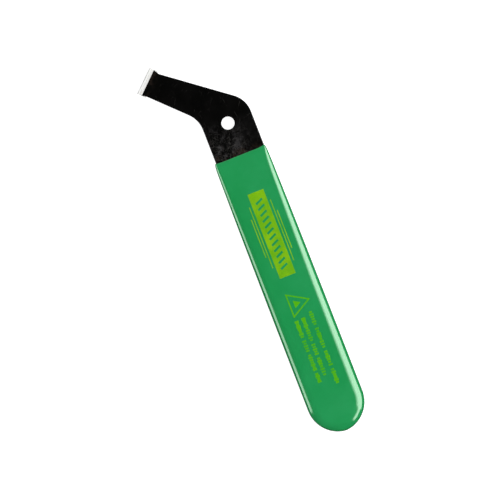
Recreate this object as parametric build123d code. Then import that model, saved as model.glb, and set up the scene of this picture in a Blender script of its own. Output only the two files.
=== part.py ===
from build123d import *
from math import cos, radians, sin
import os

# Hand scoring knife for plastic sheet.
#
# One flat steel bar is both the tang and the cranked head. A carbide bit is silver-brazed into a slot across
# the flared end of the head, and the tang is dipped in vinyl, which is printed on its upper face.
#
# The origin is the centre of the hanging hole, at the bar's mid-thickness. +Y runs forwards along the bar, +Z
# is the printed face, and the head cranks over towards -X. All sizes are millimetres and degrees.

# Steel bar: 1 inch wide flat stock, with every large corner at a half-inch radius
BAR_WIDTH = 25.4
BAR_THICKNESS = 3.2
CORNER_RADIUS = 12.7
TANG_END_Y = -159.6
EDGE_ROUND = 0.3
HANG_HOLE_RADIUS = 3.25
HANG_HOLE_CHAMFER = 0.3

# Cranked arm: two straight edges, which close in towards the end. Angles are counted from +X.
INNER_CORNER_Y = 6.7
INNER_EDGE_ANGLE = 135.0
INNER_EDGE_LENGTH = 30.9
OUTER_CORNER_Y = 7.7
OUTER_EDGE_ANGLE = 142.8
ARM_END_ANGLE = 43.5

# Flared end: an ear on each side widens it to carry the bit
OUTER_EAR = 1.15
OUTER_EAR_LENGTH = 3.6
INNER_EAR = 0.35
INNER_EAR_LENGTH = 3.0
EAR_LAND = 1.0
EAR_ROOT_RADIUS = 1.2
EAR_CORNER_RADIUS = 0.4

# The end is ground to a bevel on both faces, down to thin lips each side of the slot
END_BEVEL_WIDTH = 0.4
END_BEVEL_DROP = 0.25

# Carbide bit, its slot and the solder film round it
BIT_THICKNESS = 1.6
BIT_SEAT_DEPTH = 2.6
BIT_REACH = 2.0
BIT_INNER_OVERHANG = 0.3
BIT_OUTER_OVERHANG = 0.4
BIT_EDGE_GRIND = 0.4
BIT_EDGE_LAND = 0.5
SOLDER_FILM = 0.1
SOLDER_FILLET_HEIGHT = 0.3
SOLDER_FILLET_REACH = 0.4

# Dipped grip, at stations from the lip to the start of the butt: the place along the bar, the coat on the
# bar's edges and on its faces, and the width of the rounding from the side to the flat
GRIP_STATIONS = [
    (-16.9, 0.45, 0.45, 1.2),
    (-18.6, 0.82, 0.80, 1.7),
    (-22.0, 1.00, 1.10, 2.3),
    (-27.0, 1.08, 1.35, 2.8),
    (-34.0, 1.18, 1.50, 3.2),
    (-60.0, 1.40, 1.50, 4.1),
    (-95.0, 1.55, 1.50, 4.9),
    (-146.2, 1.60, 1.50, 5.4),
]
# A rounding's height for its width, and the least straight height left on a side
ROUNDING_SLENDERNESS = 0.6
SIDE_LAND = 0.3
BUTT_RADIUS = 15.6
# The coat drained towards -X before it set
GRIP_SHIFT = -0.15

# Ink on the grip's upper face
INK = 0.08
PANEL_WIDTH = 8.3
PANEL_FRONT_Y = -36.4
PANEL_LENGTH = 44.2
PANEL_X = 0.3
PANEL_BAR_COUNT = 12
PANEL_BAR_PITCH = 3.1
PANEL_BAR_WIDTH = 1.1
PANEL_BAR_HEIGHT = 4.2
PANEL_BAR_LEAN = 25.0
STRIPE_WIDTH = 0.45
# Each stripe beside the panel: how far from the panel's middle, and its length
STRIPES = [(5.5, 32.0), (6.8, 20.0)]
TRIANGLE_X = -0.8
TRIANGLE_Y = -94.8
TRIANGLE_RADIUS = 7.3
TRIANGLE_STROKE = 0.7
TRIANGLE_CORE_RADIUS = 2.3
ROW_HEIGHT = 2.0
WORD_GAP = 1.2
# Each row of plain bars: its place across the grip, where it starts, and its bars' lengths
PRINT_ROWS = [
    (-3.9, -102.7, [9.0, 6.2, 8.6, 5.0]),
    (-0.3, -102.4, [12.4, 6.0, 9.6]),
    (4.2, -100.6, [7.4, 10.8, 8.2, 8.0]),
]

HALF_WIDTH = BAR_WIDTH / 2
HALF_BAR = BAR_THICKNESS / 2
HALF_BIT = BIT_THICKNESS / 2
HALF_SLOT = HALF_BIT + SOLDER_FILM
SLOT_DEPTH = BIT_SEAT_DEPTH + SOLDER_FILM
GRIP_FACE_Z = HALF_BAR + GRIP_STATIONS[-1][2]
CUT = 40.0


def heading(angle):
    """Unit vector in the plan at this angle from +X."""
    return Vector(cos(radians(angle)), sin(radians(angle)))


def meet(p, p_angle, q, q_angle):
    """Where the line through p at p_angle meets the line through q at q_angle."""
    along, across = heading(p_angle), heading(q_angle)
    gap = q - p
    share = (gap.X * across.Y - gap.Y * across.X) / (along.X * across.Y - along.Y * across.X)
    return p + along * share


# The arm's corners in plan, and the frame of its end: local +X along the end towards the outer edge, +Y out
inner_corner = Vector(-HALF_WIDTH, INNER_CORNER_Y)
outer_corner = Vector(HALF_WIDTH, OUTER_CORNER_Y)
inner_end = inner_corner + heading(INNER_EDGE_ANGLE) * INNER_EDGE_LENGTH
outer_end = meet(outer_corner, OUTER_EDGE_ANGLE, inner_end, ARM_END_ANGLE)
end_middle = (inner_end + outer_end) / 2
arm_end = Location((end_middle.X, end_middle.Y, 0), (0, 0, ARM_END_ANGLE))
half_end = (outer_end - inner_end).length / 2
OUTER_EAR_X = half_end + OUTER_EAR
INNER_EAR_X = -half_end - INNER_EAR


def end_point(x, y):
    """A plan point given in the frame of the arm's end."""
    return (arm_end * Pos(x, y)).position


def end_prism(section, x_from, x_to):
    """Prism along the arm's end from a section of (y, z) points in the frame of that end."""
    face = Plane.YZ * make_face(Polyline(*section, close=True))
    return arm_end * Pos(x_from, 0, 0) * extrude(face, x_to - x_from)


def blank_outline():
    """The bar's outline in plan: round tang end, straight sides, crank and flared end."""
    tang_y = TANG_END_Y + CORNER_RADIUS
    outer_ear_root = outer_end - heading(OUTER_EDGE_ANGLE) * OUTER_EAR_LENGTH
    inner_ear_root = inner_end - heading(INNER_EDGE_ANGLE) * INNER_EAR_LENGTH
    outer_crest = end_point(OUTER_EAR_X, -EAR_LAND)
    inner_crest = end_point(INNER_EAR_X, -EAR_LAND)
    sides = Polyline(
        (-HALF_WIDTH, tang_y),
        inner_corner,
        inner_ear_root,
        inner_crest,
        end_point(INNER_EAR_X, 0),
        end_point(OUTER_EAR_X, 0),
        outer_crest,
        outer_ear_root,
        outer_corner,
        (HALF_WIDTH, tang_y),
    )
    tang_end = ThreePointArc((HALF_WIDTH, tang_y), (0, TANG_END_Y), (-HALF_WIDTH, tang_y))
    face = make_face(sides + tang_end)
    rounds = [
        (CORNER_RADIUS, [inner_corner, outer_corner]),
        (EAR_ROOT_RADIUS, [outer_ear_root, inner_ear_root]),
        (EAR_CORNER_RADIUS, [outer_crest, inner_crest]),
    ]
    for radius, points in rounds:
        corners = [face.vertices().sort_by_distance(point)[0] for point in points]
        face = fillet(corners, radius)
    return face


def steel_blank():
    """The bar with its edges rounded and its end bevelled, before the slot and the hole are cut."""
    blank = extrude(blank_outline(), HALF_BAR, both=True)
    rims = blank.faces().filter_by(Axis.Z).edges()
    blank = fillet(rims, EDGE_ROUND)
    for side in (1, -1):
        wedge = [
            (-END_BEVEL_WIDTH, side * HALF_BAR),
            (-END_BEVEL_WIDTH, side * CUT),
            (CUT, side * CUT),
            (CUT, side * (HALF_BAR - END_BEVEL_DROP)),
            (0, side * (HALF_BAR - END_BEVEL_DROP)),
        ]
        blank -= end_prism(wedge, -CUT / 2, CUT / 2)
    return blank


def bit_slot():
    """The slot across the arm's end, open at both ears."""
    section = [(-SLOT_DEPTH, -HALF_SLOT), (CUT, -HALF_SLOT), (CUT, HALF_SLOT), (-SLOT_DEPTH, HALF_SLOT)]
    return end_prism(section, -CUT / 2, CUT / 2)


def blade_shank(blank):
    """The finished bar: slotted for the bit and pierced for hanging."""
    hole = Cylinder(HANG_HOLE_RADIUS, CUT)
    mouth_radius = HANG_HOLE_RADIUS + HANG_HOLE_CHAMFER
    mouth = Cone(HANG_HOLE_RADIUS, mouth_radius, HANG_HOLE_CHAMFER)
    mouth = Pos(0, 0, HALF_BAR - HANG_HOLE_CHAMFER / 2) * mouth
    return blank - hole - mouth - mirror(mouth, about=Plane.XY) - bit_slot()


def carbide_bit():
    """Flat bit a little longer than the flared end, its outer edge ground on both faces to a narrow land."""
    grind_y = BIT_REACH - BIT_EDGE_GRIND
    half_land = BIT_EDGE_LAND / 2
    section = [
        (-BIT_SEAT_DEPTH, -HALF_BIT),
        (grind_y, -HALF_BIT),
        (BIT_REACH, -half_land),
        (BIT_REACH, half_land),
        (grind_y, HALF_BIT),
        (-BIT_SEAT_DEPTH, HALF_BIT),
    ]
    return end_prism(section, INNER_EAR_X - BIT_INNER_OVERHANG, OUTER_EAR_X + BIT_OUTER_OVERHANG)


def braze_joint(blank, bit):
    """Solder film that fills the slot round the bit, with a small fillet along each side of its mouth."""
    film = (blank & bit_slot()) - bit
    for side in (1, -1):
        section = [
            (0, side * HALF_BIT),
            (SOLDER_FILLET_REACH, side * HALF_BIT),
            (0, side * (HALF_BIT + SOLDER_FILLET_HEIGHT)),
        ]
        film += end_prism(section, INNER_EAR_X + EDGE_ROUND, OUTER_EAR_X - EDGE_ROUND)
    return film


def half_section(y, edge_coat, face_coat, rounding, inner_x):
    """The part of the grip's section at y that lies beyond inner_x: flat faces and a rounded side."""
    half_width = HALF_WIDTH + edge_coat
    half_height = HALF_BAR + face_coat
    flat = half_width - rounding
    drop = min(ROUNDING_SLENDERNESS * rounding, half_height - SIDE_LAND / 2)
    land = half_height - drop
    profile = make_face(
        [
            Line((inner_x, half_height), (inner_x, -half_height)),
            Line((inner_x, -half_height), (flat, -half_height)),
            EllipticalCenterArc((flat, -land), rounding, drop, start_angle=-90, arc_size=90),
            Line((half_width, -land), (half_width, land)),
            EllipticalCenterArc((flat, land), rounding, drop, start_angle=0, arc_size=90),
            Line((flat, half_height), (inner_x, half_height)),
        ]
    )
    return Plane(origin=(0, y, 0), x_dir=(1, 0, 0), z_dir=(0, -1, 0)) * profile


def grip_butt():
    """Half of the grip's closed end: the last section turned about a centre just past the middle."""
    y, edge_coat, *_ = GRIP_STATIONS[-1]
    centre_x = HALF_WIDTH + edge_coat - BUTT_RADIUS
    half = revolve(half_section(*GRIP_STATIONS[-1], centre_x), Axis((centre_x, y, 0), (0, 0, -1)), 90)
    return half & Pos(CUT / 2, y, 0) * Box(CUT, CUT, CUT)


def grip_sleeve(shank):
    """Vinyl coat over the tang, open at the lip, and moulded round the bar."""
    sections = [half_section(*station, 0) for station in GRIP_STATIONS]
    half = grip_butt()
    for pair in zip(sections, sections[1:]):
        half += loft(pair, ruled=True)
    coat = half + mirror(half, about=Plane.YZ)
    return Pos(GRIP_SHIFT, 0, 0) * coat - shank


def ink(face):
    """A printed shape as a thin solid on the grip's upper face."""
    return Pos(0, 0, GRIP_FACE_Z) * extrude(face, INK)


def printed_panel():
    """Plain panel with a row of leaning bars left open in it, and two stripes each side."""
    middle_y = PANEL_FRONT_Y - PANEL_LENGTH / 2
    panel = Pos(PANEL_X, middle_y) * Rectangle(PANEL_WIDTH, PANEL_LENGTH)
    bar = Rot(0, 0, PANEL_BAR_LEAN) * Rectangle(PANEL_BAR_HEIGHT, PANEL_BAR_WIDTH)
    for step in range(PANEL_BAR_COUNT):
        offset = (step - (PANEL_BAR_COUNT - 1) / 2) * PANEL_BAR_PITCH
        panel -= Pos(PANEL_X, middle_y + offset) * bar
    pieces = [panel]
    for side in (1, -1):
        for offset, length in STRIPES:
            pieces.append(Pos(PANEL_X + side * offset, middle_y) * Rectangle(STRIPE_WIDTH, length))
    return Compound([ink(piece).solid() for piece in pieces])


def printed_triangle():
    """Outlined triangle that points across the grip, with a small solid one in it."""
    place = Pos(TRIANGLE_X, TRIANGLE_Y)
    inner_radius = TRIANGLE_RADIUS - 2 * TRIANGLE_STROKE
    outline = RegularPolygon(TRIANGLE_RADIUS, 3) - RegularPolygon(inner_radius, 3)
    core = RegularPolygon(TRIANGLE_CORE_RADIUS, 3)
    return Compound([ink(place * outline).solid(), ink(place * core).solid()])


def printed_lines():
    """Three rows of plain bars along the grip, where small print would go."""
    bars = []
    for x, y, lengths in PRINT_ROWS:
        for length in lengths:
            bars.append(ink(Pos(x, y - length / 2) * Rectangle(ROW_HEIGHT, length)).solid())
            y -= length + WORD_GAP
    return Compound(bars)


blank = steel_blank()
bit = carbide_bit()
shank = blade_shank(blank)
nodes = {
    "blade_shank": shank,
    "carbide_bit": bit,
    "braze_joint": braze_joint(blank, bit),
    "grip_sleeve": grip_sleeve(shank),
    "printed_panel": printed_panel(),
    "printed_triangle": printed_triangle(),
    "printed_lines": printed_lines(),
}

os.makedirs("parts", exist_ok=True)
for name, shape in nodes.items():
    export_step(shape, f"parts/{name}.step")
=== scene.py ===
"""Looks of the hand scoring knife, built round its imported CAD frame.

Lengths are millimetres in the part's frame, and they are multiplied by MM where Blender takes them. The sizes
of the camera, the lights and the floor are metres. The grip and its print are meshes of this script. The
steel, the bit and its solder are the frame's own meshes.
"""

from math import cos, exp, floor, pi, radians, sin, sqrt, tan

import bmesh
import bpy
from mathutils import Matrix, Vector, noise


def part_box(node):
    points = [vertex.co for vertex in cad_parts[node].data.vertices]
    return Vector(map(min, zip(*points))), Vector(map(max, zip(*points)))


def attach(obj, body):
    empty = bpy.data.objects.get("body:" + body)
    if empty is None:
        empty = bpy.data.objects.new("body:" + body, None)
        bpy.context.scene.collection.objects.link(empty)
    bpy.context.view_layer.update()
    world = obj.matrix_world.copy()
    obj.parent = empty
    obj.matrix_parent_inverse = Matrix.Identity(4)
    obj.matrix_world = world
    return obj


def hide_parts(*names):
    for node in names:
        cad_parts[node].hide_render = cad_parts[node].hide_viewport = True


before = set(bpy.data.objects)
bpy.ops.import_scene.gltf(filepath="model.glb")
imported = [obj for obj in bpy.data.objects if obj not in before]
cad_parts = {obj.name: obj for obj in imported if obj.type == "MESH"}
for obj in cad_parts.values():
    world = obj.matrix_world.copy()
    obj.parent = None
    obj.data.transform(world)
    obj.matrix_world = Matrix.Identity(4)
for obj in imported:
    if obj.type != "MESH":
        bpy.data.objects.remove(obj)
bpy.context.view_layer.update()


MM = 0.001
WHITE = (1.0, 1.0, 1.0, 1.0)

# Steel bar and grip in the frame
shank_low, shank_high = (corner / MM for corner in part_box("blade_shank"))
grip_low, grip_high = (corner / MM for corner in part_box("grip_sleeve"))
HALF_WIDTH = shank_high.x
HALF_BAR = shank_high.z
TANG_CENTRE_Y = shank_low.y + HALF_WIDTH
LIP_Y = grip_high.y
GRIP_FACE_Z = grip_high.z
GRIP_X = (grip_low.x + grip_high.x) / 2
GRIP_HALF_WIDTH = (grip_high.x - grip_low.x) / 2
BUTT_RADIUS = 15.6
BUTT_Y = grip_low.y + sqrt(BUTT_RADIUS ** 2 - (BUTT_RADIUS - GRIP_HALF_WIDTH) ** 2)

# ------------------------------------------------------------------------------------------------- grip

# Dipped coat as it grows away from its lip, each part of the growth over its own length
LIP_RADIUS = 0.35
SIDE_RISE, SIDE_RISE_LENGTH = 0.52, 1.3
SIDE_SWELL, SIDE_SWELL_LENGTH = 0.75, 42.0
FACE_RISE, FACE_RISE_LENGTH = 1.15, 4.5

# Elliptical rounding between the faces and the sides, which widens away from the lip
ROUND_START = 1.2
ROUND_RISE, ROUND_RISE_LENGTH = 1.1, 4.0
ROUND_SWELL, ROUND_SWELL_LENGTH = 3.5, 60.0
ROUND_SLENDERNESS = 0.62
SIDE_LAND = 0.3

# Gentle waves of the dipped faces. The gap sets the two faces' waves apart in the noise.
WAVE_DEPTH, WAVE_LENGTH = 0.03, 16.0
WAVE_FACE_GAP = 40.0

# How far the lip's line runs forward: everywhere, more towards +X, more at the bar's edges, and unevenly.
# The lead dies out over its length, and the wobble is read along one line of the noise.
LIP_LEAD, LIP_LEAD_LENGTH = 0.10, 3.0
LIP_SLANT = 0.12
LIP_EDGE_LEAD, LIP_EDGE_POWER = 0.35, 6
LIP_WOBBLE, LIP_WOBBLE_LENGTH = 0.16, 5.0
LIP_WOBBLE_LINE = 3.7

# Softness of the point at the butt, where 0 is a sharp crease, and the cavity round the tang
DRIP_SOFTNESS = 0.10
CAVITY_GAP = 0.01
CAVITY_EDGE_ROUND = 0.3

# Mesh density, and the least angle between two faces that shows as an edge
FACE_STEPS = 10
EDGE_STEPS = 16
LIP_STEPS = 6
BUTT_STEPS = 44
FIRST_PITCH, PITCH_GROWTH, LARGEST_PITCH = 0.2, 0.25, 1.6
GRIP_WELD = 0.0005
SHARP_ANGLE = radians(50.0)


def settle(distance, length):
    """Share, from 0 to 1, of a change that settles over this length."""
    return 1.0 - exp(-distance / length)


def lip_round(back):
    """Quarter-round front of the coat: 0 at the lip and 1 from one lip radius behind it."""
    short = max(0.0, 1.0 - back / LIP_RADIUS)
    return sqrt(1.0 - short * short)


def side_coat(back):
    """Coat on the bar's sides, this far behind the lip."""
    swell = SIDE_RISE * settle(back, SIDE_RISE_LENGTH) + SIDE_SWELL * settle(back, SIDE_SWELL_LENGTH)
    return LIP_RADIUS * lip_round(back) + swell


def face_coat(back):
    """Coat on the bar's faces, this far behind the lip."""
    return LIP_RADIUS * lip_round(back) + FACE_RISE * settle(back, FACE_RISE_LENGTH)


def side_rounding(back):
    """Width and height of the rounding between face and side, this far behind the lip."""
    rise = ROUND_RISE * settle(back, ROUND_RISE_LENGTH)
    width = ROUND_START + rise + ROUND_SWELL * settle(back, ROUND_SWELL_LENGTH)
    highest = HALF_BAR + face_coat(back) - SIDE_LAND / 2
    return width, min(ROUND_SLENDERNESS * width, highest)


def wave_sink(x, y, face):
    """How far the dipped surface lies under its nominal place on the upper (1) or lower (-1) face."""
    wave = noise.noise(Vector((x, y, WAVE_FACE_GAP * face)) / WAVE_LENGTH)
    return WAVE_DEPTH * (0.5 - 0.5 * wave)


def lip_shift(x, back):
    """How far forward of its nominal place a point lies, this far behind the lip."""
    across = (x - GRIP_X) / HALF_WIDTH
    wobble = LIP_WOBBLE * noise.noise(Vector((x / LIP_WOBBLE_LENGTH, LIP_WOBBLE_LINE, 0.0)))
    lead = LIP_LEAD + LIP_SLANT * across + LIP_EDGE_LEAD * across ** LIP_EDGE_POWER + wobble
    return lead * exp(-back / LIP_LEAD_LENGTH)


def face_height(x, y):
    """Height of the grip's upper face over the bar's mid-plane, away from its rounded sides."""
    return HALF_BAR + face_coat(LIP_Y - y) - wave_sink(x, y, 1)


def butt_reach(angle, half_width):
    """From the butt's centre to its outline: two arcs meeting in a soft point, where the dip ran off."""
    shift = BUTT_RADIUS - half_width
    across = sqrt(cos(angle) ** 2 + DRIP_SOFTNESS ** 2) - DRIP_SOFTNESS
    whole = sqrt(1.0 + DRIP_SOFTNESS ** 2) - DRIP_SOFTNESS
    return sqrt(BUTT_RADIUS ** 2 - (shift * sin(angle)) ** 2) - shift * across / whole


def arch(centre, angle, reach, half_height, rounding, wavy):
    """Points from the top of the spine, out over one side and back to the spine underneath.

    The side is reached in the direction of angle. rounding holds the width and height of its rounding, and
    wavy adds the waves of the dip.
    """
    width, drop = rounding
    flat = reach - width
    profile = [(flat * step / FACE_STEPS, 0.0) for step in range(FACE_STEPS)]
    profile += [(flat, pi / 2 * step / EDGE_STEPS) for step in range(EDGE_STEPS + 1)]
    top = [(run + width * sin(turn), cos(turn)) for run, turn in profile]
    points = []
    for face, half in ((1, top), (-1, top[::-1])):
        for out, rise in half:
            x = centre.x + out * cos(angle)
            y = centre.y + out * sin(angle)
            sink = wave_sink(x, y, face) if wavy else 0.0
            inward = sink * (1.0 - rise) / reach
            x -= inward * out * cos(angle)
            y -= inward * out * sin(angle)
            points.append(Vector((x, y, face * (half_height - drop * (1.0 - rise) - sink * rise))))
    return points


def row_stations(last):
    """Distances behind the lip: close together round the lip, then evenly to the last one."""
    stations = [LIP_RADIUS * (1.0 - cos(pi / 2 * step / LIP_STEPS)) for step in range(LIP_STEPS + 1)]
    while stations[-1] < last - LARGEST_PITCH:
        stations.append(stations[-1] + min(LARGEST_PITCH, FIRST_PITCH + PITCH_GROWTH * stations[-1]))
    stations[-1] = last
    return stations


def skin_arches(sections, butt_centre, butt_section):
    """Half-sections down the right side, round the butt and back up the left side."""
    right = []
    left = []
    for back, section in sections:
        centre = Vector((butt_centre.x, LIP_Y - back))
        for side, angle in ((right, 0.0), (left, -pi)):
            points = arch(centre, angle, *section)
            for point in points:
                point.y += lip_shift(point.x, back)
            side.append(points)
    round_butt = []
    for step in range(1, BUTT_STEPS):
        angle = -pi * step / BUTT_STEPS
        round_butt.append(arch(butt_centre, angle, *butt_section(angle)))
    return right + round_butt + left[::-1]


def bridge(mesh_data, near, far):
    """Quads between two rows of as many vertices."""
    for step in range(len(near) - 1):
        mesh_data.faces.new((near[step], near[step + 1], far[step + 1], far[step]))


def add_skin(mesh_data, arches):
    """Quads between neighbouring arches. Returns the vertices, arch by arch."""
    grid = [[mesh_data.verts.new(point * MM) for point in points] for points in arches]
    for near, far in zip(grid, grid[1:]):
        bridge(mesh_data, near, far)
    return grid


def outer_section(back):
    """Outer skin's half width, half height and rounding, this far behind the lip, and that it is wavy."""
    return HALF_WIDTH + side_coat(back), HALF_BAR + face_coat(back), side_rounding(back), True


def grip_mesh():
    """The vinyl sleeve: an outer skin, a cavity round the tang and a rounded lip that joins them."""
    last = LIP_Y - BUTT_Y
    outer = [(back, outer_section(back)) for back in row_stations(last)]
    half_width, half_height, rounding, wavy = outer_section(last)

    def outer_butt(angle):
        return butt_reach(angle, half_width), half_height, rounding, wavy

    edge = (CAVITY_EDGE_ROUND, CAVITY_EDGE_ROUND)
    cavity = (HALF_WIDTH + CAVITY_GAP, HALF_BAR + CAVITY_GAP, edge, False)
    inner = [(back, cavity) for back in row_stations(LIP_Y - TANG_CENTRE_Y)]

    mesh_data = bmesh.new()
    outside = add_skin(mesh_data, skin_arches(outer, Vector((GRIP_X, BUTT_Y)), outer_butt))
    inside = add_skin(mesh_data, skin_arches(inner, Vector((0.0, TANG_CENTRE_Y)), lambda angle: cavity))
    for end in (0, -1):
        bridge(mesh_data, outside[end], inside[end])
    bmesh.ops.remove_doubles(mesh_data, verts=mesh_data.verts, dist=GRIP_WELD * MM)
    return mesh_data


def add_piece(name, mesh_data, node, material):
    """Turns mesh data into a smooth piece that stands for a CAD node and rides on the only body."""
    bmesh.ops.recalc_face_normals(mesh_data, faces=mesh_data.faces)
    mesh = bpy.data.meshes.new(name)
    mesh_data.to_mesh(mesh)
    mesh_data.free()
    mesh.polygons.foreach_set("use_smooth", [True] * len(mesh.polygons))
    mesh.set_sharp_from_angle(angle=SHARP_ANGLE)
    mesh.materials.append(material)
    piece = bpy.data.objects.new(name, mesh)
    bpy.context.scene.collection.objects.link(piece)
    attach(piece, "root")
    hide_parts(node)
    return piece


# ------------------------------------------------------------------------------------------------ print

# Ink on the grip's upper face: its top above the vinyl and its underside in it
INK_TOP = 0.02
INK_SINK = 0.03

# Mesh of the ink: squares of this pitch, small corner arcs, and the distances that count as touching
INK_PITCH = 2.0
CORNER_ROUND = 0.15
CORNER_SHARE = 1 / 3
CORNER_STEPS = 4
INK_WELD = 0.001
CUT_TOUCH = 0.0001

# Panel with bars left open in it
PANEL_WIDTH, PANEL_LENGTH = 8.3, 44.2
PANEL_X, PANEL_FRONT_Y = 0.3, -36.4
PANEL_BAR_COUNT, PANEL_BAR_PITCH = 12, 3.1
PANEL_BAR_WIDTH, PANEL_BAR_HEIGHT = 1.1, 4.2
PANEL_BAR_LEAN = radians(25.0)

# Stripes each side of the panel: how far out from its middle, and how long
STRIPE_WIDTH = 0.45
STRIPES = [(5.5, 32.0), (6.8, 20.0)]

TRIANGLE_X, TRIANGLE_Y = -0.8, -94.8
TRIANGLE_RADIUS, TRIANGLE_STROKE, TRIANGLE_CORE_RADIUS = 7.3, 0.7, 2.3

# Rows of small print: where each starts, and the lengths of its words
ROW_HEIGHT = 2.3
WORD_GAP = 1.2
PRINT_ROWS = [
    (-3.9, -102.7, [9.0, 6.2, 8.6, 5.0]),
    (-0.3, -102.4, [12.4, 6.0, 9.6]),
    (4.2, -100.6, [7.4, 10.8, 8.2, 8.0]),
]

# Ticks that fill the words. Their height and width change by these shares, at these rates along the row.
TICK_PITCH, TICK_WIDTH = 1.30, 1.08
HEIGHT_CHANGE, HEIGHT_RATE = 0.18, 3.1
WIDTH_CHANGE, WIDTH_RATE = 0.22, 5.3


def rounded_loop(corners, radius):
    """Closed loop through these corners, each cut by a small arc."""
    points = []
    for index, corner in enumerate(corners):
        back = (corners[index - 1] - corner).normalized()
        ahead = (corners[(index + 1) % len(corners)] - corner).normalized()
        half = back.angle(ahead) / 2
        centre = corner + (back + ahead).normalized() * (radius / sin(half))
        arc_start = corner + back * (radius / tan(half)) - centre
        arc_end = corner + ahead * (radius / tan(half)) - centre
        for step in range(CORNER_STEPS + 1):
            share = step / CORNER_STEPS
            points.append(centre + arc_start.lerp(arc_end, share).normalized() * radius)
    return points


def bar_loop(x, y, width, length, lean=0.0):
    """Loop of a bar: width across the grip and length along it, turned by lean."""
    across = Vector((cos(lean), sin(lean))) * (width / 2)
    along = Vector((-sin(lean), cos(lean))) * (length / 2)
    middle = Vector((x, y))
    front = [middle + across + along, middle - across + along]
    rear = [middle - across - along, middle + across - along]
    return rounded_loop(rear + front, min(CORNER_ROUND, CORNER_SHARE * width, CORNER_SHARE * length))


def triangle_loop(radius):
    """Loop of a triangle about the printed triangle's centre, with one corner towards +X."""
    centre = Vector((TRIANGLE_X, TRIANGLE_Y))
    corners = [centre + Vector((cos(turn), sin(turn))) * radius for turn in (0.0, 2 * pi / 3, 4 * pi / 3)]
    return rounded_loop(corners, CORNER_ROUND)


def flat_sheet(loops):
    """Flat sheet, one unit thick, inside these loops and with their holes left open."""
    curve = bpy.data.curves.new("ink_outline", "CURVE")
    curve.dimensions = "2D"
    curve.fill_mode = "BOTH"
    curve.extrude = 0.5
    for loop in loops:
        spline = curve.splines.new("POLY")
        spline.points.add(len(loop) - 1)
        for point, place in zip(spline.points, loop):
            point.co = (place.x, place.y, 0.0, 1.0)
        spline.use_cyclic_u = True
    outline = bpy.data.objects.new("ink_outline", curve)
    filled = bpy.data.meshes.new_from_object(outline)
    mesh_data = bmesh.new()
    mesh_data.from_mesh(filled)
    bpy.data.objects.remove(outline)
    bpy.data.curves.remove(curve)
    bpy.data.meshes.remove(filled)
    bmesh.ops.remove_doubles(mesh_data, verts=mesh_data.verts, dist=INK_WELD)
    return mesh_data


def cut_in_squares(mesh_data):
    """Cuts a flat sheet along a square grid, so that it can follow the grip's face."""
    for axis in (0, 1):
        normal = Vector((0.0, 0.0, 0.0))
        normal[axis] = 1.0
        places = [vert.co[axis] for vert in mesh_data.verts]
        cut = floor(min(places) / INK_PITCH) * INK_PITCH + INK_PITCH
        while cut < max(places):
            parts = mesh_data.verts[:] + mesh_data.edges[:] + mesh_data.faces[:]
            bmesh.ops.bisect_plane(
                mesh_data, geom=parts, plane_co=normal * cut, plane_no=normal, dist=CUT_TOUCH,
            )
            cut += INK_PITCH


def ink_mesh(loops):
    """Thin sheet of ink inside these loops, laid on the grip's face."""
    mesh_data = flat_sheet(loops)
    cut_in_squares(mesh_data)
    for vert in mesh_data.verts:
        lift = INK_TOP if vert.co.z > 0 else -INK_SINK
        vert.co.z = face_height(vert.co.x, vert.co.y) + lift
        vert.co *= MM
    return mesh_data


def panel_loops():
    """Plain panel with a row of leaning bars left open, and two stripes each side."""
    middle_y = PANEL_FRONT_Y - PANEL_LENGTH / 2
    loops = [bar_loop(PANEL_X, middle_y, PANEL_WIDTH, PANEL_LENGTH)]
    for step in range(PANEL_BAR_COUNT):
        y = middle_y + (step - (PANEL_BAR_COUNT - 1) / 2) * PANEL_BAR_PITCH
        loops.append(bar_loop(PANEL_X, y, PANEL_BAR_HEIGHT, PANEL_BAR_WIDTH, PANEL_BAR_LEAN))
    for side in (-1, 1):
        for offset, length in STRIPES:
            loops.append(bar_loop(PANEL_X + side * offset, middle_y, STRIPE_WIDTH, length))
    return loops


def triangle_loops():
    """Outlined triangle with a small solid one in it."""
    inner_radius = TRIANGLE_RADIUS - 2 * TRIANGLE_STROKE
    return [triangle_loop(radius) for radius in (TRIANGLE_RADIUS, inner_radius, TRIANGLE_CORE_RADIUS)]


def row_loops():
    """Rows of short upright ticks in word-long groups, where small print would go."""
    loops = []
    for x, y, lengths in PRINT_ROWS:
        for length in lengths:
            count = round(length / TICK_PITCH)
            pitch = length / count
            for step in range(count):
                place = y - (step + 0.5) * pitch
                height = ROW_HEIGHT * (1.0 - HEIGHT_CHANGE + HEIGHT_CHANGE * sin(HEIGHT_RATE * place + x))
                width = TICK_WIDTH * (1.0 + WIDTH_CHANGE * sin(WIDTH_RATE * place - x))
                loops.append(bar_loop(x, place, height, width))
            y -= length + WORD_GAP
    return loops


# -------------------------------------------------------------------------------------------- materials


class Nodes:
    """A node tree, and short calls that add nodes to it."""

    def __init__(self, owner):
        owner.use_nodes = True
        self.tree = owner.node_tree

    def node(self, kind, inputs=None, **settings):
        """Adds a node. inputs maps a socket's name or number to a value or to another node's output."""
        made = self.tree.nodes.new(kind)
        for name, value in settings.items():
            setattr(made, name, value)
        for socket, value in (inputs or {}).items():
            if isinstance(value, bpy.types.NodeSocket):
                self.tree.links.new(value, made.inputs[socket])
            else:
                made.inputs[socket].default_value = value
        return made

    def span(self, value, low, high, out_low=0.0, out_high=1.0):
        """Maps low..high to out_low..out_high, smoothly and clamped."""
        inputs = {"Value": value, "From Min": low, "From Max": high, "To Min": out_low, "To Max": out_high}
        return self.node("ShaderNodeMapRange", inputs, interpolation_type="SMOOTHSTEP").outputs[0]

    def math(self, operation, first, second):
        """One arithmetic step."""
        return self.node("ShaderNodeMath", {0: first, 1: second}, operation=operation).outputs[0]

    def product(self, first, second):
        """Two values multiplied."""
        return self.math("MULTIPLY", first, second)

    def parts(self, vector):
        """The X, Y and Z of a vector."""
        return self.node("ShaderNodeSeparateXYZ", {0: vector}).outputs


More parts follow.
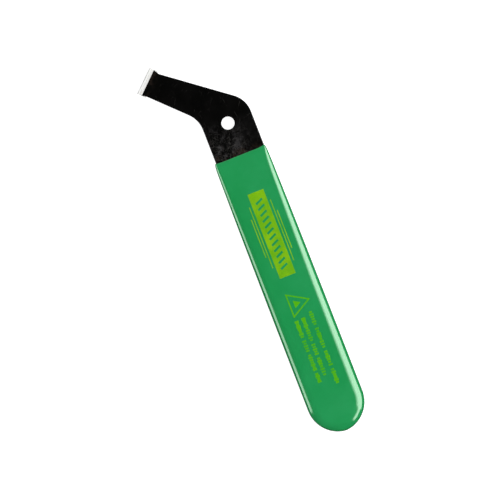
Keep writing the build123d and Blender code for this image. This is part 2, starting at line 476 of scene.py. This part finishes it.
class Finish(Nodes):
    """A material with one Principled shader, and short calls that build its look."""

    def __init__(self, name, **constants):
        self.material = bpy.data.materials.new(name)
        super().__init__(self.material)
        self.shader = self.tree.nodes["Principled BSDF"]
        for socket, value in constants.items():
            self.shader.inputs[socket.replace("_", " ")].default_value = value
        self.place = self.node("ShaderNodeTexCoord").outputs["Object"]

    def drive(self, socket, value):
        """Feeds one of the Principled shader's sockets."""
        self.tree.links.new(value, self.shader.inputs[socket])

    def noise(self, wavelength, detail, rough=0.5, place=None):
        """Noise from 0 to 1 whose features are about this many millimetres apart."""
        inputs = {
            "Vector": place or self.place,
            "Scale": 1.0 / (wavelength * MM),
            "Detail": detail,
            "Roughness": rough,
        }
        return self.node("ShaderNodeTexNoise", inputs).outputs["Fac"]

    def patches(self, wavelength, detail, band, rough=0.5, result=(0.0, 1.0)):
        """Soft patches: noise under the band gives the first result, and noise over it the second."""
        return self.span(self.noise(wavelength, detail, rough), *band, *result)

    def streaks(self, lean, lengths):
        """Noise whose features have these lengths, along axes that lean from Y towards X by these degrees."""
        turned = self.node("ShaderNodeMapping", {"Vector": self.place, "Rotation": (0.0, 0.0, radians(lean))})
        shrink = [1.0 / length for length in lengths]
        shrunk = self.node("ShaderNodeMapping", {"Vector": turned.outputs[0], "Scale": shrink})
        return self.noise(1.0, STREAK_DETAIL, place=shrunk.outputs[0])

    def ramp(self, place, ends, result=(0.0, 1.0)):
        """Goes from the first result to the second between these two places."""
        return self.span(place, ends[0] * MM, ends[1] * MM, *result)

    def mix(self, share, first, second):
        """Colour that goes from first to second as share goes from 0 to 1."""
        inputs = {0: share, 6: first, 7: second}
        return self.node("ShaderNodeMix", inputs, data_type="RGBA").outputs[2]

    def tint(self, colour, mask, share, other):
        """Colour that goes by this share towards the other where the mask is 1."""
        return self.mix(self.product(mask, share), colour, other)

    def bump(self, height, distance):
        """Bumps the normal by a height from 0 to 1 that stands for this many millimetres."""
        inputs = {"Height": height, "Distance": distance * MM, "Strength": 1.0}
        self.drive("Normal", self.node("ShaderNodeBump", inputs).outputs[0])

    def texture(self, wavelength, detail, height):
        """Bumps the normal by noise of this height."""
        self.bump(self.noise(wavelength, detail), height)


# Colours are linear red, green, blue and alpha, and a share is how much of a colour shows at most. A pattern
# holds what patches() takes: a wavelength, a detail, a band of noise and sometimes a roughness. A texture
# holds what texture() takes: a wavelength, a detail and a height.
USUAL_BAND = (0.3, 0.7)
STREAK_DETAIL = 2.0

# Green vinyl: cloudy greens, a darker mottle, and painted shade on its sides: a darker green that comes in
# as the normal's Z falls from the first value of SIDE_SHADE_TURN to the second
VINYL_GREEN, VINYL_PALE_GREEN = (0.0062, 0.200, 0.049, 1.0), (0.0105, 0.218, 0.062, 1.0)
VINYL_CLOUDS = (45.0, 2.0, (0.35, 0.65))
MOTTLE_GREEN, MOTTLE_SHARE = (0.0035, 0.184, 0.044, 1.0), 0.35
MOTTLE = (6.0, 3.0, USUAL_BAND)
SIDE_SHADE_GREEN, SIDE_SHADE_SHARE = (0.0010, 0.085, 0.020, 1.0), 0.55
SIDE_SHADE_TURN = (0.80, 0.45)
VINYL_GLINT = (0.78, 1.0, 0.83, 1.0)
VINYL_HAZE, VINYL_ROUGHNESS = (11.0, 4.0, (0.3, 0.75)), (0.09, 0.15)
ORANGE_PEEL = (1.6, 2.0, 0.004)


def vinyl():
    """Glossy green dipped vinyl: faint cloudy colour, painted side shade, orange peel and a little handling
    haze.
    """
    finish = Finish("green_vinyl", IOR=1.6, Specular_IOR_Level=0.88, Specular_Tint=VINYL_GLINT)
    green = finish.mix(finish.patches(*VINYL_CLOUDS), VINYL_GREEN, VINYL_PALE_GREEN)
    green = finish.tint(green, finish.patches(*MOTTLE), MOTTLE_SHARE, MOTTLE_GREEN)
    facing = finish.node("ShaderNodeTexCoord").outputs["Normal"]
    upright = finish.math("ABSOLUTE", finish.parts(facing)["Z"], 0.0)
    # Painted shade: the base colour darkens where the surface turns steeply away from straight up
    side = finish.span(upright, *SIDE_SHADE_TURN, 0.0, SIDE_SHADE_SHARE)
    finish.drive("Base Color", finish.mix(side, green, SIDE_SHADE_GREEN))
    finish.drive("Roughness", finish.patches(*VINYL_HAZE, result=VINYL_ROUGHNESS))
    finish.texture(*ORANGE_PEEL)
    return finish.material


# Inks, thinly and fully laid, and the vinyl that shows in their pinholes
LIME_THIN, LIME_FULL = (0.085, 0.268, 0.002, 1.0), (0.155, 0.336, 0.001, 1.0)
LEAF_THIN, LEAF_FULL = (0.036, 0.262, 0.004, 1.0), (0.058, 0.292, 0.001, 1.0)
INK_DENSITY = (9.0, 3.0, USUAL_BAND)
PINHOLE_GREEN, PINHOLE_SHARE = (0.005, 0.20, 0.05, 1.0), 0.4
PINHOLES = (0.5, 2.0, (0.62, 0.78))
INK_HAZE, INK_ROUGHNESS = (3.0, 2.0, USUAL_BAND), (0.16, 0.24)
INK_TEXTURE = (0.6, 2.0, 0.003)


def ink(name, thin, full):
    """Screen-printed ink whose density varies a little, with fine pinholes of the green below."""
    finish = Finish(name, IOR=1.42)
    colour = finish.mix(finish.patches(*INK_DENSITY), thin, full)
    colour = finish.tint(colour, finish.patches(*PINHOLES), PINHOLE_SHARE, PINHOLE_GREEN)
    finish.drive("Base Color", colour)
    finish.drive("Roughness", finish.patches(*INK_HAZE, result=INK_ROUGHNESS))
    finish.texture(*INK_TEXTURE)
    return finish.material


# Arm's end: the angle of its edge from +X, how far the bit stands out of it, and how far the steel's end lies
# outward from the origin
END_ANGLE = 43.5
END_OUTWARD = Vector((-sin(radians(END_ANGLE)), cos(radians(END_ANGLE)), 0.0))
BIT_REACH = 2.0
bit_points = [vert.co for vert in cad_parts["carbide_bit"].data.vertices]
END_OUT = max(point.dot(END_OUTWARD) for point in bit_points) / MM - BIT_REACH

# Black oxide, a little cloudy
OXIDE_BLACK, OXIDE_GREY = (0.0004, 0.0004, 0.0003, 1.0), (0.0013, 0.0012, 0.0011, 1.0)
OXIDE_CLOUDS = (10.0, 4.0, (0.35, 0.7))
STEEL_HAZE, STEEL_ROUGHNESS = (3.5, 4.0, USUAL_BAND), (0.15, 0.21)
STEEL_GRAIN, STEEL_GRAIN_DETAIL, STEEL_GRAIN_HEIGHT = 0.5, 3.0, 0.005

# Wear comes in along the bar from the hole to the grip, and across it from its least share on the +X side.
# Scuffs are patches of it.
WEAR_Y, WEAR_X = (5.0, -12.0), (10.0, -3.0)
WEAR_LEAST = 0.1
SCUFF_GREY, SCUFF_SHARE = (0.0185, 0.0175, 0.0182, 1.0), 0.85
SCUFFS = (3.4, 3.6, (0.46, 0.66), 0.64)
SCUFF_ROUGHNESS = 0.12

# Rusty bloom, which comes in just before the grip's lip
RUST_Y = (-12.5, -16.5)
RUST_BROWN, RUST_SHARE = (0.0210, 0.0130, 0.0090, 1.0), 0.7
RUST_PATCHES = (4.0, 3.0, (0.45, 0.65))

# Scratches: a dense fine set in the wear, and a few long ones that fade along the arm. Each set holds its
# directions as leans from +Y towards +X, a width, a length and the noise above which a scratch shows.
FINE_SCRATCHES = ((18.0, -52.0, 77.0, -8.0), 0.22, 3.0, 0.63)
LONG_SCRATCHES = ((31.0, -9.0, 68.0), 0.30, 8.0, 0.70)
FINE_SHARE = 0.65
LONG_Y, LONG_SHARES = (35.0, 0.0), (0.08, 0.5)
SCRATCH_EDGE = 0.05
SCRATCH_GREY = (0.0420, 0.0400, 0.0370, 1.0)
SCRATCH_DEPTH = -0.6

# Brown heat tint, which comes in between these depths from the brazed end
HEAT_DEPTHS = (5.0, 1.0)
HEAT_BROWN, HEAT_SHARE = (0.0100, 0.0066, 0.0050, 1.0), 0.7
HEAT_PATCHES = (2.4, 3.0, (0.45, 0.65))

# Bright band ground at the end, a little wider than the bevel, with a slightly ragged inner edge. Its fine
# lines run outward, and the lengths are along the edge, outward and down.
GROUND_WIDTH, GROUND_BLUR = 0.45, 0.07
GROUND_RAGGED, RAGGED_LENGTH, RAGGED_DETAIL = 0.12, 0.6, 2.0
GROUND_GREY, GROUND_BRIGHT = (0.78, 0.78, 0.76, 1.0), (0.96, 0.96, 0.95, 1.0)
GROUND_LINES = (1 / 9, 2.5, 2.5)
GROUND_METALLIC = 0.6


def scratch_lines(finish, leans, width, length, threshold):
    """Mask of scratches in these directions, of about this width and length."""
    mask = 0.0
    for lean in leans:
        noisy = finish.streaks(lean, (width, length, length))
        mask = finish.math("MAXIMUM", finish.span(noisy, threshold, threshold + SCRATCH_EDGE), mask)
    return mask


def steel_scratches(finish, worn, y):
    """Mask of all the steel's scratches: the fine ones in the wear, and the long ones that reach the arm."""
    fine = finish.product(scratch_lines(finish, *FINE_SCRATCHES), worn)
    long = finish.product(scratch_lines(finish, *LONG_SCRATCHES), finish.ramp(y, LONG_Y, LONG_SHARES))
    return finish.math("MAXIMUM", finish.product(fine, FINE_SHARE), long)


def oxide_colour(finish, scuffs, scratches, y, out):
    """Cloudy black, greyed by scuffs and scratches, rusty by the grip and browned at the brazed end."""
    colour = finish.mix(finish.patches(*OXIDE_CLOUDS), OXIDE_BLACK, OXIDE_GREY)
    colour = finish.tint(colour, scuffs, SCUFF_SHARE, SCUFF_GREY)
    rust = finish.product(finish.ramp(y, RUST_Y), finish.patches(*RUST_PATCHES))
    colour = finish.tint(colour, rust, RUST_SHARE, RUST_BROWN)
    colour = finish.mix(scratches, colour, SCRATCH_GREY)
    heat = finish.ramp(out, [END_OUT - depth for depth in HEAT_DEPTHS])
    heat = finish.product(heat, finish.patches(*HEAT_PATCHES))
    return finish.tint(colour, heat, HEAT_SHARE, HEAT_BROWN)


def ground_band(finish, out):
    """Mask of the band that is ground bright at the arm's end, and its colour."""
    ragged = finish.product(finish.noise(RAGGED_LENGTH, RAGGED_DETAIL), GROUND_RAGGED * MM)
    inner_edge = END_OUT - GROUND_WIDTH
    ground = finish.ramp(finish.math("ADD", out, ragged), (inner_edge, inner_edge + GROUND_BLUR))
    lines = finish.span(finish.streaks(-END_ANGLE, GROUND_LINES), *USUAL_BAND)
    return ground, finish.mix(lines, GROUND_GREY, GROUND_BRIGHT)


def black_steel():
    """Black-oxide steel, scuffed from the hole to the grip and ground bright at its brazed end."""
    finish = Finish("black_steel", IOR=1.4, Specular_IOR_Level=0.25)
    x, y, _ = finish.parts(finish.place)
    outward = finish.node("ShaderNodeVectorMath", {0: finish.place, 1: END_OUTWARD}, operation="DOT_PRODUCT")
    out = outward.outputs["Value"]

    worn = finish.product(finish.ramp(y, WEAR_Y), finish.ramp(x, WEAR_X, (WEAR_LEAST, 1.0)))
    scuffs = finish.product(worn, finish.patches(*SCUFFS))
    scratches = steel_scratches(finish, worn, y)
    ground, bright = ground_band(finish, out)

    finish.drive("Base Color", finish.mix(ground, oxide_colour(finish, scuffs, scratches, y, out), bright))
    finish.drive("Metallic", finish.product(ground, GROUND_METALLIC))
    satin = finish.patches(*STEEL_HAZE, result=STEEL_ROUGHNESS)
    finish.drive("Roughness", finish.math("ADD", satin, finish.product(scuffs, SCUFF_ROUGHNESS)))
    grain = finish.noise(STEEL_GRAIN, STEEL_GRAIN_DETAIL)
    grain = finish.math("ADD", grain, finish.product(scratches, SCRATCH_DEPTH))
    finish.bump(grain, STEEL_GRAIN_HEIGHT)
    return finish.material


# Ground carbide, whose fine lines run along the edge. Their lengths are along the edge, outward and down.
CARBIDE_GREY, CARBIDE_PALE = (0.80, 0.80, 0.78, 1.0), (0.92, 0.92, 0.91, 1.0)
SPECK_GREY, SPECK_SHARE = (0.55, 0.55, 0.52, 1.0), 0.5
SPECKS = (0.7, 3.0, (0.56, 0.72))
CARBIDE_LINES, CARBIDE_LINE_HEIGHT = (2.0, 1 / 7, 2.0), 0.003
CARBIDE_ROUGHNESS = (0.42, 0.55)


def carbide():
    """Ground tungsten carbide: pale satin grey with fine grinding lines and darker specks."""
    finish = Finish("carbide", Metallic=0.6, IOR=1.5)
    lines = finish.streaks(-END_ANGLE, CARBIDE_LINES)
    grey = finish.mix(finish.span(lines, *USUAL_BAND), CARBIDE_GREY, CARBIDE_PALE)
    grey = finish.tint(grey, finish.patches(*SPECKS), SPECK_SHARE, SPECK_GREY)
    finish.drive("Base Color", grey)
    finish.drive("Roughness", finish.span(lines, *USUAL_BAND, *CARBIDE_ROUGHNESS))
    finish.bump(lines, CARBIDE_LINE_HEIGHT)
    return finish.material


# Silver solder
SOLDER_PALE, SOLDER_STAIN = (0.94, 0.92, 0.88, 1.0), (0.74, 0.66, 0.52, 1.0)
FLUX_STAINS = (1.2, 3.0, (0.58, 0.75))
SOLDER_HAZE, SOLDER_ROUGHNESS = (0.8, 3.0, USUAL_BAND), (0.28, 0.5)
SOLDER_RIPPLE = (0.6, 2.0, 0.02)


def solder():
    """Silver solder: pale warm metal, slightly rippled, with brown flux stains."""
    finish = Finish("silver_solder", Metallic=0.65, IOR=1.5)
    finish.drive("Base Color", finish.mix(finish.patches(*FLUX_STAINS), SOLDER_PALE, SOLDER_STAIN))
    finish.drive("Roughness", finish.patches(*SOLDER_HAZE, result=SOLDER_ROUGHNESS))
    finish.texture(*SOLDER_RIPPLE)
    return finish.material


def dress(node, material):
    """Gives a CAD node this material in all its slots."""
    for material_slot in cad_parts[node].material_slots:
        material_slot.material = material


# ------------------------------------------------------------------------------------- floor and light

# Camera: how far the picture is turned from the part's +X, what it aims at and how wide it sees there
PICTURE_TURN = radians(-21.2)
AIM = Vector((-12.44, -62.05, 0.0)) * MM
FIELD_WIDTH = 245.65 * MM
CAMERA_HEIGHT = 2.6
SENSOR_WIDTH = 36.0
CLIP_END = 50.0

# White floor, and how strongly the room glows in reflections and straight behind the table
FLOOR_RADIUS, FLOOR_SEGMENTS = 9.0, 96
FLOOR_GREY, FLOOR_PALE = (0.34, 0.34, 0.34, 1.0), (0.36, 0.36, 0.36, 1.0)
FLOOR_CLOUDS, FLOOR_DETAIL = 400.0, 2.0
FLOOR_GLOW = 0.92
ROOM_GLOW, BACKDROP_GLOW = 0.06, 1.0

# Softboxes: from and to which azimuth in the picture, from and to which angle from straight up, the radiance,
# and the share of the height over which the light fades out towards its upper edge
SOFTBOXES = {
    "softbox_right": ((-18.0, 50.0), (11.0, 66.0), 5.85, 0.4),
    "softbox_tail": ((-43.0, -18.0), (33.0, 58.0), 5.0, 0.35),
    "softbox_left": ((168.0, 211.0), (43.0, 78.0), 4.05, 0.3),
    "white_card": ((94.0, 167.0), (46.0, 80.0), 0.85, 0.2),
}
LIGHT_DISTANCE = 1.6
DOOR_BLUR = radians(2.0)
FILL_RADIANCE, FILL_RADIUS = 0.50, 2.5


def make_camera():
    """Long lens straight above the tool, turned so that the head is up and to the left."""
    data = bpy.data.cameras.new("camera")
    data.sensor_width = SENSOR_WIDTH
    data.lens = SENSOR_WIDTH * CAMERA_HEIGHT / FIELD_WIDTH
    data.clip_end = CLIP_END
    camera = bpy.data.objects.new("camera", data)
    camera.location = AIM + Vector((0.0, 0.0, CAMERA_HEIGHT))
    camera.rotation_euler = (0.0, 0.0, PICTURE_TURN)
    bpy.context.scene.collection.objects.link(camera)
    bpy.context.scene.camera = camera


def floor_finish():
    """Matt white that glows a little from within, like opal acrylic."""
    glow = {"Emission_Color": WHITE, "Emission_Strength": FLOOR_GLOW}
    finish = Finish("floor_white", Roughness=0.9, Specular_IOR_Level=0.1, **glow)
    finish.drive("Base Color", finish.mix(finish.noise(FLOOR_CLOUDS, FLOOR_DETAIL), FLOOR_GREY, FLOOR_PALE))
    return finish.material


def make_floor():
    """Plain white table under the grip, left out of glossy reflections so that the steel stays black."""
    mesh_data = bmesh.new()
    bmesh.ops.create_circle(mesh_data, cap_ends=True, segments=FLOOR_SEGMENTS, radius=FLOOR_RADIUS)
    mesh = bpy.data.meshes.new("floor")
    mesh_data.to_mesh(mesh)
    mesh_data.free()
    mesh.materials.append(floor_finish())
    floor_piece = bpy.data.objects.new("floor", mesh)
    floor_piece.location = (AIM.x, AIM.y, -GRIP_FACE_Z * MM)
    floor_piece.visible_glossy = False
    bpy.context.scene.collection.objects.link(floor_piece)


def add_lamp(name, data, away):
    """Puts an area light at the lights' distance in this direction, facing the tool."""
    lamp = bpy.data.objects.new(name, data)
    lamp.location = AIM + away * LIGHT_DISTANCE
    lamp.rotation_euler = (-away).to_track_quat("-Z", "Y").to_euler()
    lamp.visible_camera = False
    bpy.context.scene.collection.objects.link(lamp)
    return lamp


def softbox(name, azimuths, zeniths, radiance, faded):
    """Flat light that fills this part of the sky, with barn doors that give it straight sides in azimuth."""
    turn = radians(sum(azimuths) / 2) + PICTURE_TURN
    tilt = radians(sum(zeniths) / 2)
    half_azimuth = radians(azimuths[1] - azimuths[0]) / 2
    widest = tan(half_azimuth + DOOR_BLUR)
    narrowest = tan(half_azimuth - DOOR_BLUR)

    data = bpy.data.lights.new(name, "AREA")
    data.shape = "RECTANGLE"
    data.size_y = 2 * LIGHT_DISTANCE * tan(radians(zeniths[1] - zeniths[0]) / 2)
    middle_run = LIGHT_DISTANCE * sin(tilt)
    lower_run = middle_run + data.size_y / 2 * cos(tilt)
    data.size = 2 * lower_run * widest
    data.energy = radiance * pi * data.size * data.size_y

    # Places on the light run from 0 to 1. A point's distance sideways over its run, which is its level
    # distance from the tool, is the tangent of its azimuth off the light's middle.
    glow = Nodes(data)
    across, height, _ = glow.parts(glow.node("ShaderNodeNewGeometry").outputs["Parametric"])
    sideways = glow.product(glow.math("ABSOLUTE", glow.math("SUBTRACT", across, 0.5), 0.0), data.size)
    rise = glow.product(glow.math("SUBTRACT", height, 0.5), data.size_y * cos(tilt))
    run = glow.math("SUBTRACT", middle_run, rise)
    doors = glow.span(glow.math("DIVIDE", sideways, run), widest, narrowest)
    fade = glow.span(height, 1.0, 1.0 - faded)
    glow.tree.links.new(glow.product(doors, fade), glow.tree.nodes["Emission"].inputs["Strength"])
    add_lamp(name, data, Vector((sin(tilt) * cos(turn), sin(tilt) * sin(turn), cos(tilt))))


def overhead_fill():
    """Light from straight above that adds brightness but no highlights."""
    data = bpy.data.lights.new("overhead_fill", "AREA")
    data.shape = "DISK"
    data.size = 2 * FILL_RADIUS
    data.energy = FILL_RADIANCE * pi * pi * FILL_RADIUS ** 2
    fill = add_lamp("overhead_fill", data, Vector((0.0, 0.0, 1.0)))
    fill.visible_glossy = False


def make_room():
    """A dim room to be reflected, with a white backdrop behind the table."""
    world = bpy.data.worlds.new("room")
    room = Nodes(world)
    background = room.tree.nodes["Background"]
    background.inputs["Color"].default_value = WHITE
    seen = room.node("ShaderNodeLightPath").outputs["Is Camera Ray"]
    glow = {"Value": seen, "To Min": ROOM_GLOW, "To Max": BACKDROP_GLOW}
    strength = room.node("ShaderNodeMapRange", glow).outputs[0]
    room.tree.links.new(strength, background.inputs["Strength"])
    bpy.context.scene.world = world


def make_lights():
    """Three softboxes for the highlights on the grip, a dim white card, a fill from above and a dim room."""
    for name, settings in SOFTBOXES.items():
        softbox(name, *settings)
    overhead_fill()
    make_room()
    bpy.context.scene.view_settings.view_transform = "Standard"


# ------------------------------------------------------------------------------------------------ build

make_camera()
make_floor()
make_lights()

leaf_ink = ink("leaf_ink", LEAF_THIN, LEAF_FULL)
lime_ink = ink("lime_ink", LIME_THIN, LIME_FULL)
add_piece("vinyl_grip", grip_mesh(), "grip_sleeve", vinyl())
add_piece("ink_panel", ink_mesh(panel_loops()), "printed_panel", lime_ink)
add_piece("ink_triangle", ink_mesh(triangle_loops()), "printed_triangle", leaf_ink)
add_piece("ink_rows", ink_mesh(row_loops()), "printed_lines", leaf_ink)
dress("blade_shank", black_steel())
dress("carbide_bit", carbide())
dress("braze_joint", solder())
